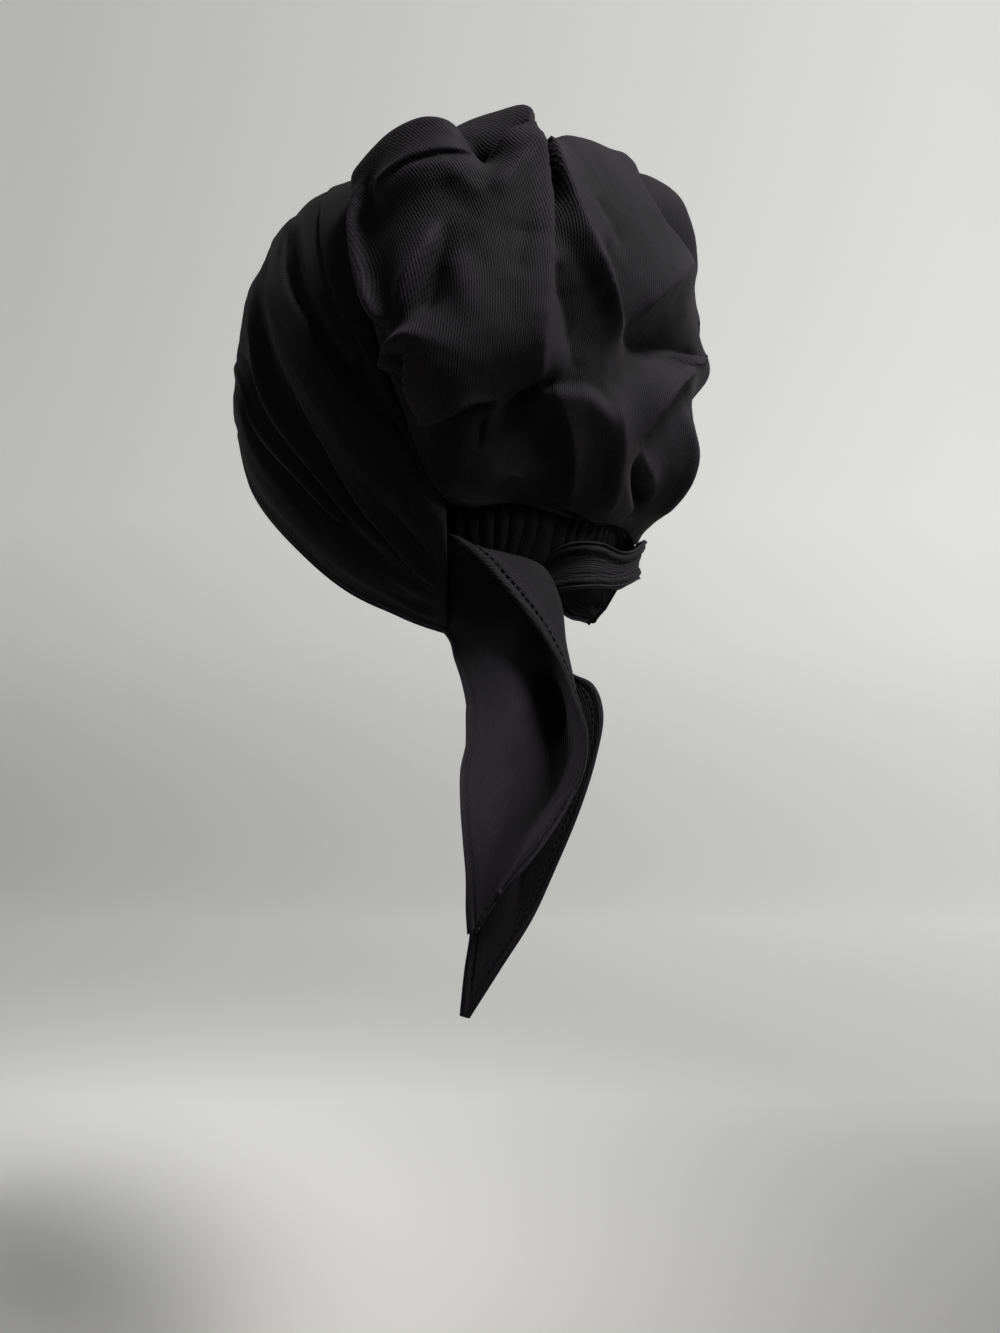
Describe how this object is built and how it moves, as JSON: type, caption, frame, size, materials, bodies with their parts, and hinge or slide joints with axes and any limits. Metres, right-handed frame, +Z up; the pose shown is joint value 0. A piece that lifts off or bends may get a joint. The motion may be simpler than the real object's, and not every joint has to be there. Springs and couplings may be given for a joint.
{
  "type": "underscarf bonnet",
  "caption": "Black cloth underscarf bonnet as worn: a folded front band over the crown, a slouchy gathered bag behind, a ruched nape elastic and tie ends that hang down.",
  "frame": {"origin": "middle of the head opening, where the wearer's head goes in", "axes": "+Z up, the face looks along -Y, and the wearer's left is +X"},
  "size_m": [0.1696, 0.2266, 0.3384],
  "materials": {
    "cloth": "matte fine-ribbed black stretch cloth with a slight purple-brown tint",
    "elastic_cloth": "ruched black cloth over elastic"
  },
  "bodies": {
    "root": {"front_band": "cloth", "crown_bag": "cloth", "nape_elastic": "elastic_cloth", "left_tie": "cloth", "right_tie": "cloth"}
  },
  "joints": []
}
